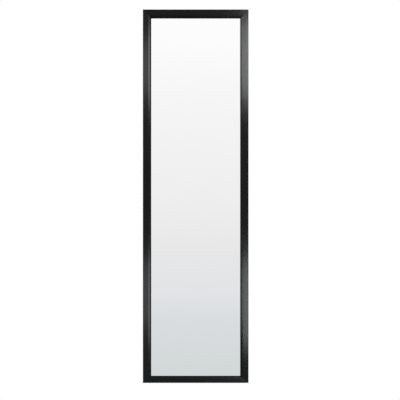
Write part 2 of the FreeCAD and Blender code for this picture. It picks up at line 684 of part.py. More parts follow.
def make_hinge_leaf():
    body = new_body("hinge_leaf")
    add_folded_strip(body, LEAF_REAR, MIRROR_BACK, "leaf_thickness", LEAF_BOTTOM, LEAF_TOP,
                     towards_panel=True)
    sketch = new_sketch(body, FRONT, LEAF_REAR)
    tail = f"({BRACKET_LEAD} - leaf_width)"
    low = f"({LEAF_BOTTOM} + leaf_thickness + lug_bend)"
    high = f"({LEAF_TOP} - leaf_thickness - lug_bend)"
    draw_rectangle(sketch, tail, BRACKET_LEAD, low, high)
    add_pad(body, sketch, "leaf_thickness")
    add_fillet(body, "lug_bend + leaf_thickness", runs_along("Y", [(tail, low), (tail, high)]))
    bore_lugs(body, LEAF_BOTTOM, "bush_diameter + 2 * pin_play")
    drill(body, LEAF_SCREWS, "tapping_shank + 2 * screw_play", LEAF_REAR)
    return body


def make_leaf_screws():
    body = new_body("leaf_screws")
    add_screw(body, CLIP_X, LEAF_SCREWS[0][1], LEAF_REAR, "tapping", "tapping_length",
              facing_front=False)
    repeat(body, rows=[("Z_Axis", LEAF_SCREW_COUNT, LEAF_SCREW_SPAN)])
    return body


def make_bush(name, lug_underside):
    """A flanged bush pressed into a lug of the leaf from below."""
    body = new_body(name)
    bore = "(pin_diameter / 2 + pin_play)"
    flange = f"({lug_underside} - bush_flange_thickness)"
    top = f"({lug_underside} + leaf_thickness)"
    profile = [(bore, flange), ("bush_flange / 2", flange), ("bush_flange / 2", lug_underside),
               ("bush_diameter / 2", lug_underside), ("bush_diameter / 2", top), (bore, top)]
    add_turning(body, FRONT, AXIS_DEPTH, AXIS_X, profile)
    return body


PIN_TOP = f"({LEAF_TOP} + running_gap + washer_height)"
PIN_BOTTOM = "(-lug_reach - pin_tail)"
RING_TOP = "(-lug_reach - running_gap)"


def make_swivel_pin():
    body = new_body("swivel_pin")
    radius = "pin_diameter / 2"
    groove = "groove_diameter / 2"
    ring_low = f"({RING_TOP} - ring_thickness - 2 * pin_play)"
    head_top = f"({PIN_TOP} + pin_head_height)"
    profile = [("0", PIN_BOTTOM), (radius, PIN_BOTTOM), (radius, ring_low), (groove, ring_low),
               (groove, RING_TOP), (radius, RING_TOP), (radius, PIN_TOP),
               ("pin_head / 2", PIN_TOP), ("pin_head / 2", head_top), ("0", head_top)]
    add_turning(body, FRONT, AXIS_DEPTH, AXIS_X, profile)
    add_fillet(body, "head_round", is_rim("pin_head", "Z", head_top))
    return body


def make_spring_washer():
    """A coned washer: its outer rim rests on the leaf's side and its inner on the head."""
    body = new_body("spring_washer")
    inner = "(pin_diameter / 2 + pin_play)"
    outer = "washer_diameter / 2"
    low = f"({PIN_TOP} - washer_height)"
    profile = [(inner, f"({PIN_TOP} - washer_sheet)"), (outer, low),
               (outer, f"({low} + washer_sheet)"), (inner, PIN_TOP)]
    add_turning(body, FRONT, AXIS_DEPTH, AXIS_X, profile)
    return body


def make_pin_clip():
    """An open retaining ring in the pin's groove."""
    body = new_body("pin_clip")
    start = f"({RING_TOP} - pin_play - ring_thickness)"
    sketch = new_sketch(body, TOP, start)
    draw_circle(sketch, AXIS_X, f"-{AXIS_DEPTH}", "ring_diameter")
    draw_circle(sketch, AXIS_X, f"-{AXIS_DEPTH}", "groove_diameter + 2 * pin_play")
    add_pad(body, sketch, "ring_thickness")
    opening = new_sketch(body, TOP, start)
    draw_rectangle(opening, f"{AXIS_X} - ring_diameter", AXIS_X,
                   f"-({AXIS_DEPTH} + ring_gap / 2)", f"-({AXIS_DEPTH} - ring_gap / 2)")
    add_pocket(body, opening)
    return body


# ---- The foot that holds the parked mirror parallel ----

FOOT_TIP = f"({MIRROR_BACK} - rest_gap)"
FOOT_SEAT = f"({FOOT_TIP} - foot_bore_depth)"


def make_parking_bumper():
    body = new_body("parking_bumper")
    bore = "(tapping_shank / 2 + screw_play)"
    profile = [(bore, f"-{SLIDE_FRONT}"), ("foot_base / 2", f"-{SLIDE_FRONT}"),
               ("foot_tip / 2", f"-{FOOT_TIP}"), ("foot_bore / 2", f"-{FOOT_TIP}"),
               ("foot_bore / 2", f"-{FOOT_SEAT}"), (bore, f"-{FOOT_SEAT}")]
    add_turning(body, TOP, "0", FOOT_X, profile)
    add_fillet(body, "head_round / 2", is_rim("foot_tip", "Y", f"-{FOOT_TIP}"))
    return body


def make_bumper_screw():
    body = new_body("bumper_screw")
    add_screw(body, FOOT_X, "0", FOOT_SEAT, "tapping", "foot_screw_length", facing_front=True)
    return body


# ---- The frame ----

def frame_section():
    """The extrusion's outer and inner outlines, as (distance from edge, inset from front)."""
    underside = "(slope_drop + lip_skin + lip_drop * (lip_width - frame_wall) / lip_width)"
    box_top = f"(lip_skin + slope_drop * ({BOX_WIDTH} - {FACE_FLAT}) / slope_width)"
    wall_line = f"({BOX_WIDTH} - frame_wall)"
    hollow_top = f"(frame_wall + {HOLLOW_FALL})"
    hollow_floor = "(frame_depth - frame_wall)"
    outer = [("0", "0"), (FACE_FLAT, "0"), ("(stile_face - lip_width)", "slope_drop"),
             ("stile_face", "(slope_drop + lip_drop)"), ("stile_face", GLASS_INSET),
             ("(stile_face - frame_wall)", GLASS_INSET), ("(stile_face - frame_wall)", underside),
             ("(stile_face - lip_width)", "(slope_drop + lip_skin)"), (BOX_WIDTH, box_top),
             (BOX_WIDTH, "frame_depth"), ("0", "frame_depth")]
    inner = [("frame_wall", "frame_wall"), (f"({wall_line} - frame_wall)", "frame_wall"),
             (wall_line, hollow_top), (wall_line, hollow_floor), ("frame_wall", hollow_floor)]
    return outer, inner


def mitre_corner(side, end, stretch):
    """The frame's outer corner and the glass's corner, a little beyond both."""
    over = 0.1
    outer = (f"{side} * (mirror_width / 2 + {over} * stile_face)",
             f"{end} * (mirror_height / 2 + {over} * stile_face * {stretch})")
    glass = (f"{side} * (mirror_width / 2 - (1 + {over}) * stile_face)",
             f"{end} * (mirror_height / 2 - (1 + {over}) * stile_face * {stretch})")
    return outer, glass


def key_screw_places():
    """One key screw in a stile and one in a rail, at the top right corner."""
    in_stile = (f"(mirror_width / 2 - {BOX_WIDTH} / 2)",
                "(mirror_height / 2 - key_leg + key_screw_inset)")
    in_rail = ("(mirror_width / 2 - key_leg + key_screw_inset)",
               "(mirror_height / 2 - rail_screw_line)")
    return in_stile, in_rail


def make_stile(name, side, extra_holes=()):
    body = new_body(name)
    sketch = new_sketch(body, TOP, "-mirror_height / 2")
    for ring in frame_section():
        draw_outline(sketch, [(f"{side} * (mirror_width / 2 - {across})",
                               f"-({MIRROR_FRONT} - {inset})") for across, inset in ring])
    add_pad(body, sketch, "mirror_height")
    edges = [(f"{side} * mirror_width / 2", f"-{depth}") for depth in (MIRROR_FRONT, MIRROR_BACK)]
    add_fillet(body, "edge_round", runs_along("Z", edges))
    ends = new_sketch(body, FRONT, "0")
    for end, stretch in ((1, TOP_STRETCH), (-1, BOTTOM_STRETCH)):
        outer, glass = mitre_corner(side, end, stretch)
        draw_outline(ends, [outer, glass, (glass[0], outer[1])])
    add_pocket(body, ends)
    (key_x, key_z), in_rail = key_screw_places()
    holes = [(f"{side} * {key_x}", f"{end} * {key_z}") for end in (-1, 1)]
    holes += [(f"{side} * {CLIP_X}", place) for place in row_of(CLIP_COUNT, CLIP_PITCH)]
    holes += list(extra_holes)
    drill(body, holes, "tapping_shank + 2 * screw_play", MIRROR_BACK, "2 * frame_wall")
    return body


def make_rail(name, end, stretch):
    """A rail, whose section is the stile's made wider or narrower so that the mitres meet."""
    body = new_body(name)
    sketch = new_sketch(body, SIDE, "-mirror_width / 2")
    for ring in frame_section():
        draw_outline(sketch, [(f"-({MIRROR_FRONT} - {inset})",
                               f"{end} * (mirror_height / 2 - {across} * {stretch})")
                              for across, inset in ring])
    add_pad(body, sketch, "mirror_width")
    edges = [(f"-{depth}", f"{end} * mirror_height / 2") for depth in (MIRROR_FRONT, MIRROR_BACK)]
    add_fillet(body, "edge_round", runs_along("X", edges))
    ends = new_sketch(body, FRONT, "0")
    for side in (-1, 1):
        outer, glass = mitre_corner(side, end, stretch)
        draw_outline(ends, [outer, glass, (outer[0], glass[1])])
    add_pocket(body, ends)
    in_stile, (key_x, key_z) = key_screw_places()
    holes = [(f"{side} * {key_x}", f"{end} * {key_z}") for side in (-1, 1)]
    drill(body, holes, "tapping_shank + 2 * screw_play", MIRROR_BACK, "2 * frame_wall")
    return body


def make_corner_key(name, side, end, stretch):
    """An L that fills the hollows of a stile and a rail, lightened from its front."""
    body = new_body(name)

    def across(distance):
        return f"{side} * (mirror_width / 2 - {distance})"

    def up(distance):
        return f"{end} * (mirror_height / 2 - {distance})"

    near = "(frame_wall + key_play)"
    far = f"({BOX_WIDTH} - frame_wall - key_play)"
    rail_near = f"(frame_wall * {stretch} + key_play)"
    rail_far = f"(({BOX_WIDTH} - frame_wall) * {stretch} - key_play)"
    rear = f"({MIRROR_BACK} + frame_wall + key_play)"
    depth = f"(frame_depth - 2 * frame_wall - {HOLLOW_FALL} - 2 * key_play)"
    sketch = new_sketch(body, FRONT, rear)
    draw_outline(sketch, [(across(near), up(rail_near)), (across("key_leg"), up(rail_near)),
                          (across("key_leg"), up(rail_far)), (across(far), up(rail_far)),
                          (across(far), up("key_leg")), (across(near), up("key_leg"))])
    add_pad(body, sketch, depth)
    pocket = new_sketch(body, FRONT, f"{rear} + key_floor")
    draw_rectangle(pocket, across(f"({near} + key_rib)"), across(f"({far} - key_rib)"),
                   up(f"({rail_far} + key_rib)"), up("(key_leg - key_rib)"))
    draw_rectangle(pocket, across(f"({far} + key_rib)"), across("(key_leg - key_rib)"),
                   up(f"({rail_near} + key_rib)"), up(f"({rail_far} - key_rib)"))
    add_pocket(body, pocket)
    holes = [(f"{side} * {x}", f"{end} * {z}") for x, z in key_screw_places()]
    drill(body, holes, "tapping_shank + 2 * screw_play", rear, "key_floor + key_play")
    return body


def make_corner_screws():
    body = new_body("corner_screws")
    for across, up in key_screw_places():
        add_screw(body, across, up, MIRROR_BACK, "tapping", "tapping_length",
                  facing_front=False)
    repeat(body, mirrors=[SIDE, TOP])
    return body


def make_panel(name, rear, thickness, play):
    """A sheet that lies in the frame's rebate."""
    body = new_body(name)
    half = f"(mirror_width / 2 - {BOX_WIDTH} - {play})"
    sketch = new_sketch(body, FRONT, rear)
    draw_rectangle(sketch, f"-{half}", half,
                   f"-(mirror_height / 2 - {BOX_WIDTH} * {BOTTOM_STRETCH} - {play})",
                   f"(mirror_height / 2 - {BOX_WIDTH} * {TOP_STRETCH} - {play})")
    add_pad(body, sketch, thickness)
    return body


def make_mirror_glass():
    body = make_panel("mirror_glass", GLASS_BACK, "glass_thickness", "glass_play")

    def is_front_edge(edge):
        return all(abs(vertex.Y + measure(GLASS_FRONT)) < 1e-4 for vertex in edge.Vertexes)

    base = body.Tip
    names = [f"Edge{number}" for number, edge in enumerate(body.Shape.Edges, 1)
             if is_front_edge(edge)]
    arris = body.newObject("PartDesign::Chamfer", "mirror_glass_arris")
    arris.Base = (base, names)
    arris.setExpression("Size", bound("glass_arris"))
    document.recompute()
    return body


def make_backing_clips():
    """Z-shaped clips, screwed to the back of the stiles, whose feet hold the backing."""
    body = new_body("backing_clips")
    sketch = new_sketch(body, TOP, f"{LOWEST_CLIP} - clip_width / 2")
    leg = f"({BOX_WIDTH} + clip_play)"
    profile = [(f"({leg} + clip_sheet - clip_flange)", f"({MIRROR_BACK} - clip_sheet)"),
               (f"({leg} + clip_sheet)", f"({MIRROR_BACK} - clip_sheet)"),
               (f"({leg} + clip_sheet)", f"({BACKING_BACK} - clip_sheet)"),
               (f"({leg} + clip_foot)", f"({BACKING_BACK} - clip_sheet)"),
               (f"({leg} + clip_foot)", BACKING_BACK), (leg, BACKING_BACK),
               (leg, MIRROR_BACK), (f"({leg} + clip_sheet - clip_flange)", MIRROR_BACK)]
    draw_outline(sketch, [(f"(mirror_width / 2 - {across})", f"-({depth})")
                          for across, depth in profile])
    add_pad(body, sketch, "clip_width")
    drill(body, [(CLIP_X, LOWEST_CLIP)], "tapping_shank + 2 * screw_play", "0")
    repeat(body, rows=CLIP_ROW, mirrors=[SIDE])
    return body


def make_clip_screws():
    body = new_body("clip_screws")
    add_screw(body, CLIP_X, LOWEST_CLIP, f"({MIRROR_BACK} - clip_sheet)", "tapping",
              "tapping_length", facing_front=False)
    repeat(body, rows=CLIP_ROW, mirrors=[SIDE])
    return body


pieces = [
    make_wall_plate(),
    make_slide_rivets(),
    make_outer_slide_member(),
    make_slide_end_bumper(),
    make_ball_cage("outer_ball_cage", OUTER_CAGE_WEB, OUTER_BALL_LINE, OUTER_BALL_HEIGHT),
    make_balls("outer_balls", OUTER_BALL_LINE, OUTER_BALL_HEIGHT),
    make_middle_slide_member(),
    make_ball_cage("inner_ball_cage", INNER_CAGE_WEB, INNER_BALL_LINE, INNER_BALL_HEIGHT),
    make_balls("inner_balls", INNER_BALL_LINE, INNER_BALL_HEIGHT),
    make_inner_slide_member(),
    make_swivel_bracket(),
    make_bracket_screws(),
    make_swivel_pin(),
    make_spring_washer(),
    make_pin_clip(),
    make_parking_bumper(),
    make_bumper_screw(),
    make_hinge_leaf(),
    make_leaf_screws(),
    make_bush("upper_bush", f"({LEAF_TOP} - leaf_thickness)"),
    make_bush("lower_bush", LEAF_BOTTOM),
    make_stile("left_stile", -1),
    make_stile("right_stile", 1, LEAF_SCREWS),
    make_rail("top_rail", 1, TOP_STRETCH),
    make_rail("bottom_rail", -1, BOTTOM_STRETCH),
    make_corner_key("top_left_corner_key", -1, 1, TOP_STRETCH),
    make_corner_key("top_right_corner_key", 1, 1, TOP_STRETCH),
    make_corner_key("bottom_left_corner_key", -1, -1, BOTTOM_STRETCH),
    make_corner_key("bottom_right_corner_key", 1, -1, BOTTOM_STRETCH),
    make_corner_screws(),
    make_mirror_glass(),
    make_panel("foam_sheet", FOAM_BACK, "foam_thickness", "glass_play"),
    make_panel("backing_board", BACKING_BACK, "backing_thickness", "glass_play"),
    make_backing_clips(),
    make_clip_screws(),
]

document.recompute()
for item in document.Objects:
    if "Invalid" in item.State or "Error" in item.State:
        raise RuntimeError(f"{item.Label} is {item.State}")
for piece in pieces:
    if piece.Shape.isNull() or not piece.Shape.isValid() or not piece.Shape.Solids:
        raise RuntimeError(f"{piece.Label} has no valid solid")

os.makedirs("parts", exist_ok=True)
for piece in pieces:
    piece.Shape.exportStep(f"parts/{piece.Label}.step")
    print(f"{piece.Label:26s} {len(piece.Shape.Solids):3d} solids {piece.Shape.Volume:12.1f} mm3")
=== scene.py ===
"""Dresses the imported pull-out closet mirror: its finishes, its soft layer and the studio that it
stands in."""

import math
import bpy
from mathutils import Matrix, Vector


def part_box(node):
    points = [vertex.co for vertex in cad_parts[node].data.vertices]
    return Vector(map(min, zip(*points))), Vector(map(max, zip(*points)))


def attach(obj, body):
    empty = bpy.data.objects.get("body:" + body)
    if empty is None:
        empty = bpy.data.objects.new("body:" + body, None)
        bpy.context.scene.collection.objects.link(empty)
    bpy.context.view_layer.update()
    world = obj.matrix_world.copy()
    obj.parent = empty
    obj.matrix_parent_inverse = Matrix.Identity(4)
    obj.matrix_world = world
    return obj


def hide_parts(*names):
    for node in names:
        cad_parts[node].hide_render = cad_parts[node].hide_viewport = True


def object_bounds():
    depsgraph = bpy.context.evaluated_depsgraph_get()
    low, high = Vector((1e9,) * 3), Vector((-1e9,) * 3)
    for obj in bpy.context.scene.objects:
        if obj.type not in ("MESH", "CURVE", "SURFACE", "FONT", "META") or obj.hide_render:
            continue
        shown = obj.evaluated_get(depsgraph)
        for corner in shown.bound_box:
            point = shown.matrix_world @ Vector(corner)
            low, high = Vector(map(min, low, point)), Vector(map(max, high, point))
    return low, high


bl_info = {
    "name": "Pull-Out Closet Mirror",
    "version": (1, 0, 0),
    "blender": (4, 5, 0),
    "location": "3D View > Sidebar > Closet Mirror",
    "description": "Finishes, foam and studio of a framed mirror on a telescopic closet slide",
    "category": "Object",
}

import bmesh
import bpy
from bpy.props import FloatProperty, FloatVectorProperty, PointerProperty
from bpy.types import Operator, Panel, PropertyGroup
from mathutils import Matrix, Vector

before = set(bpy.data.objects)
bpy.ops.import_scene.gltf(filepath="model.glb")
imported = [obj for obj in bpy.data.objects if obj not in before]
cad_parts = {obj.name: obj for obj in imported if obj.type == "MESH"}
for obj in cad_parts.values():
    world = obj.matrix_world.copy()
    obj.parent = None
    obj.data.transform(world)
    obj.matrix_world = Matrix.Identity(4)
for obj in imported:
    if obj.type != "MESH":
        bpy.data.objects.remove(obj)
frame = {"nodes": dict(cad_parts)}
cad_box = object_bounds()
nodes = frame["nodes"]


def linear(shade):
    """The linear red, green, blue and alpha of an sRGB hex colour."""
    parts = [int(shade[i:i + 2], 16) / 255 for i in (1, 3, 5)]
    return [c / 12.92 if c <= 0.04045 else ((c + 0.055) / 1.055) ** 2.4 for c in parts] + [1.0]


def toned(shade, by):
    """A colour made lighter or darker by a factor."""
    return [min(c * by, 1.0) for c in shade[:3]] + [1.0]


def add(tree, kind, inputs=(), out=0, **settings):
    """Adds a node to a tree and gives one of its outputs; each input is a value, or the output
    of another node."""
    made = tree.nodes.new("ShaderNode" + kind)
    for name, value in settings.items():
        setattr(made, name, value)
    for name, value in dict(inputs).items():
        if isinstance(value, bpy.types.NodeSocket):
            tree.links.new(value, made.inputs[name])
        else:
            made.inputs[name].default_value = value
    return made.outputs[out] if made.outputs else None


def colour(name, shade, about):
    """A setting that holds a colour, given in hex."""
    return FloatVectorProperty(name=name, description=about, subtype="COLOR", size=4, min=0, max=1,
                               default=linear(shade))


def share(name, value, about):
    """A setting from nought to one."""
    return FloatProperty(name=name, description=about, subtype="FACTOR", min=0, max=1,
                         default=value)


def length(name, value, about):
    """A setting in metres."""
    return FloatProperty(name=name, description=about, subtype="DISTANCE", unit="LENGTH", min=0,
                         default=value)


class FrameFinish(PropertyGroup):
    """Finish of the mitred aluminium members and of the keys in their corners."""

    film: colour("Film colour", "#1E1E1E", "Colour of the black anodic film")
    gloss: share("Film roughness", 0.212, "Roughness of the brushed and anodised face")
    rim: colour("Rim colour", "#8C8C8C", "Tint of the film's reflection at a glancing angle")
    drawn: share("Brushing", 0.764, "How much the brushing spreads a highlight across the member")
    casting: colour("Key colour", "#9B9D9F", "Colour of the die-cast corner keys")


class GlassFinish(PropertyGroup):
    """Finish of the silvered glass and of the layers behind it."""

    silver: colour("Silver colour", "#FDFDFD", "Colour of the silver seen through the glass")
    foam: colour("Foam colour", "#E9E9E4", "Colour of the polyethylene foam")
    board: colour("Board colour", "#6E4A30", "Colour of the oil-tempered hardboard")
    board_flecks: colour("Fibre colour", "#8A6443", "Colour of the paler wood fibres in the board")
    foam_edge: length("Foam edge radius", 0.0008, "Radius of the soft cut edge of the foam sheet")


class SteelFinish(PropertyGroup):
    """Finishes of the slide, the swivel and the fixings."""

    zinc: colour("Zinc colour", "#BFC2C4", "Colour of bright zinc plating on the strip")
    zinc_dull: colour("Dull zinc colour", "#A3A7AA", "Colour of the zinc where it has dulled")
    grease: colour("Grease colour", "#8C7A4E", "Colour of the grease along the ball tracks")
    polished: colour("Polished steel colour", "#D5D6D7", "Colour of the balls, pin and washer")
    powder: colour("Powder colour", "#1B1B1C", "Colour of the black powder coat")
    rubber: colour("Rubber colour", "#1F1F20", "Colour of the bumpers")
    rubber_bloom: colour("Bloom colour", "#47474A", "Colour of the grey bloom on the bumpers")
    nylon: colour("Nylon colour", "#E8E4D8", "Colour of the bushes")


class Studio(PropertyGroup):
    """Camera, even light and floor."""

    camera_distance: length("Camera distance", 3.55, "From the camera to the front of the mirror")
    view_height: length("View height", 1.3465, "Height seen at the front of the mirror")
    camera_aside: length("Camera offset", 0.0145, "How far the camera stands right of the middle")
    camera_drop: length("Camera drop", 0.0128, "How far the camera stands below the middle")
    fill: FloatProperty(name="Fill", description="Strength of the even light from all around",
                        min=0, default=0.7)
    floor: colour("Floor colour", "#F4F4F3", "Colour of the studio floor")
    floor_radius: length("Floor radius", 1.2, "Radius at which the floor has faded into the white")
    floor_drop: length("Floor drop", 0.95, "How far the floor lies below the middle of the mirror")


class ClosetMirror(PropertyGroup):
    """Everything that can be set on the closet mirror."""

    frame: PointerProperty(type=FrameFinish)
    glass: PointerProperty(type=GlassFinish)
    steel: PointerProperty(type=SteelFinish)
    studio: PointerProperty(type=Studio)


def blank(name):
    """A new material, its empty tree and the output that gives places on the piece."""
    made = bpy.data.materials.new(name)
    made.use_nodes = True
    tree = made.node_tree
    tree.nodes.clear()
    return made, tree, add(tree, "TexCoord", out="Object")


def close(tree, sockets):
    """Ends a material's tree in a surface with these sockets."""
    add(tree, "OutputMaterial", {"Surface": add(tree, "BsdfPrincipled", sockets)})


def looked_at(tree):
    """One where the camera, a glossy surface or clear glass looks, and nought for soft light."""
    ray = add(tree, "LightPath").node.outputs
    either = add(tree, "Math", {0: ray["Is Glossy Ray"], 1: ray["Is Transmission Ray"]},
                 operation="MAXIMUM")
    return add(tree, "Math", {0: ray["Is Camera Ray"], 1: either}, operation="MAXIMUM")


# Millimetres in a metre. A pattern's scale is this by the size of its features. Where they are
# longer one way, or the pattern is shifted from another one on the piece, a Mapping node of the
# type TEXTURE has the sizes of its features as its scale, in metres.
MM = 1000.0
# Noise keeps near a half. These stretches of it are spread over a whole range: most of it, the
# middle of it, and the middle with the peaks.
BROAD = {"From Min": 0.3, "From Max": 0.7}
NARROW = {"From Min": 0.35, "From Max": 0.65}
UPPER = {"From Min": 0.4, "From Max": 0.7}
# How a Mix node blends colours: its input 6 is the first, its input 7 the second.
COLOURS = {"out": 2, "data_type": "RGBA"}


def black_anodised_aluminium(name, style, along):
    """Extruded aluminium, brushed along its length, etched and anodised black."""
    # Brushing leaves fine lines along the member, so a lamp shows as a band across it. Real lines
    # are 0.05 mm wide and are drawn about 1 mm wide, as finer ones don't show. The gloss of the
    # film changes a little in clouds of 30 by 70 mm.
    made, tree, place = blank(name)
    lines = add(tree, "TexNoise", {"Scale": 1.0, "Detail": 5.0, "Vector": add(tree, "Mapping", {
        "Vector": place, "Scale": [0.160 if axis else 0.0011 for axis in along]},
        vector_type="TEXTURE")})
    clouds = add(tree, "TexNoise", {"Scale": 1.0, "Detail": 2.0, "Vector": add(tree, "Mapping", {
        "Vector": place, "Location": (3, 3, 3),
        "Scale": [0.070 if axis else 0.030 for axis in along]}, vector_type="TEXTURE")})
    length_way = add(tree, "VectorTransform", {"Vector": along},
                     vector_type="VECTOR", convert_from="OBJECT", convert_to="WORLD")
    across = add(tree, "VectorMath", {
        0: add(tree, "NewGeometry", out="Normal"), 1: length_way}, operation="CROSS_PRODUCT")
    close(tree, {
        "Base Color": add(tree, "Mix", {
            "Factor": add(tree, "MapRange", {**BROAD, "Value": lines}),
            6: toned(style.film, 0.88), 7: toned(style.film, 1.12)}, **COLOURS),
        "Metallic": 1.0, "Anisotropic": style.drawn, "Specular Tint": style.rim,
        "Roughness": add(tree, "MapRange", {
            **BROAD, "Value": clouds, "To Min": style.gloss - 0.01, "To Max": style.gloss + 0.01}),
        "Normal": add(tree, "Bump", {"Height": lines, "Distance": 0.0008 / MM}),
        "Tangent": across})
    return made


def cast_aluminium(name, style):
    """Pressure die-cast aluminium, tumbled."""
    # The skin of the casting is matt grey, darker in patches of 9 mm, with a fine pitted grain.
    # Real pits are about 0.3 mm wide and are drawn 0.8 mm wide, so that they show.
    made, tree, place = blank(name)
    pits = add(tree, "TexNoise", {"Vector": place, "Scale": MM / 0.8, "Detail": 6.0})
    patches = add(tree, "TexNoise", {"Vector": place, "Scale": MM / 9, "Detail": 3.0})
    close(tree, {
        "Base Color": add(tree, "Mix", {
            "Factor": add(tree, "MapRange", {**BROAD, "Value": patches}),
            6: toned(style.casting, 0.8), 7: style.casting}, **COLOURS),
        "Metallic": 1.0,
        "Roughness": add(tree, "MapRange", {
            **BROAD, "Value": pits, "To Min": 0.42, "To Max": 0.62}),
        "Normal": add(tree, "Bump", {"Height": pits, "Distance": 0.05 / MM})})
    return made


def silvered_float_glass(name, style):
    """Float glass 4 mm thick, silvered and painted on its back."""
    # The float process leaves no texture, so only cleaning wipes about 150 mm long soften it.
    made, tree, place = blank(name)
    wipes = add(tree, "TexNoise", {"Scale": 1.0, "Detail": 3.0, "Vector": add(tree, "Mapping", {
        "Vector": place, "Scale": (0.150, 0.150, 0.045)}, vector_type="TEXTURE")})
    close(tree, {
        "Base Color": add(tree, "Mix", {
            "Factor": add(tree, "MapRange", {**NARROW, "Value": wipes}),
            6: style.silver, 7: toned(style.silver, 0.997)}, **COLOURS),
        "Metallic": 1.0,
        "Roughness": add(tree, "MapRange", {
            **UPPER, "Value": wipes, "To Min": 0.004, "To Max": 0.014})})
    return made


def closed_cell_foam(name, style):
    """Polyethylene foam, extruded in a sheet and skived."""
    # Closed cells of about 1 mm give a dull, faintly sparkling white.
    made, tree, place = blank(name)
    cells = add(tree, "TexVoronoi", {"Vector": place, "Scale": MM / 1.2})
    close(tree, {
        "Base Color": add(tree, "Mix", {
            "Factor": cells, 6: style.foam, 7: toned(style.foam, 0.82)}, **COLOURS),
        "Roughness": 0.85, "Subsurface Weight": 0.15, "Subsurface Scale": 0.002,
        "Normal": add(tree, "Bump", {"Height": cells, "Distance": 0.2 / MM})})
    return made


# The directions, in degrees, in which the fibres of the board lie.
FIBRE_TURNS = (11.0, 52.0, 97.0, 151.0)


def tempered_hardboard(name, style):
    """Hardboard, wet-pressed from wood fibre and tempered with oil."""
    # The pressed face is brown and half matt, with paler fibres and dark specks of bark where
    # their noises peak. Real fibres are 0.2 mm wide and 3 mm long, and are drawn at least three
    # times as coarse, so that they show; the platen leaves clouds of about 60 mm.
    made, tree, place = blank(name)
    clouds = add(tree, "TexNoise", {"Vector": place, "Scale": MM / 60, "Detail": 3.0})
    fibres = [add(tree, "TexNoise", {"Scale": 1.0, "Detail": 4.0, "Vector": add(tree, "Mapping", {
        "Vector": place, "Location": (turn, turn, turn), "Rotation": (0, math.radians(turn), 0),
        "Scale": (0.010, 0.003, 0.0011)}, vector_type="TEXTURE")}) for turn in FIBRE_TURNS]
    while len(fibres) > 1:
        fibres.append(add(tree, "Math", {0: fibres.pop(), 1: fibres.pop()}, operation="MAXIMUM"))
    specks = add(tree, "TexNoise", {"Scale": 1.0, "Detail": 3.0, "Vector": add(tree, "Mapping", {
        "Vector": place, "Location": (9, 9, 9), "Scale": (0.0016, 0.0016, 0.0016)},
        vector_type="TEXTURE")})
    body = add(tree, "Mix", {
        "Factor": add(tree, "MapRange", {**BROAD, "Value": clouds}),
        6: toned(style.board, 0.8), 7: style.board}, **COLOURS)
    specked = add(tree, "Mix", {
        "Factor": add(tree, "MapRange", {
            "Value": specks, "From Min": 0.58, "From Max": 0.72, "To Max": 0.6}),
        6: body, 7: toned(style.board, 0.45)}, **COLOURS)
    close(tree, {
        "Base Color": add(tree, "Mix", {
            "Factor": add(tree, "MapRange", {
                "Value": fibres[0], "From Min": 0.6, "From Max": 0.76, "To Max": 0.8}),
            6: specked, 7: style.board_flecks}, **COLOURS),
        "Roughness": add(tree, "MapRange", {
            **UPPER, "Value": fibres[0], "To Min": 0.42, "To Max": 0.62}),
        "Normal": add(tree, "Bump", {"Height": fibres[0], "Distance": 0.05 / MM})})
    return made


# How far from the balls their grease reaches, in metres: less than the strip is thick.
GREASE_REACH = 0.0010
# How rough the strip is under its grease.
GREASED = 0.14


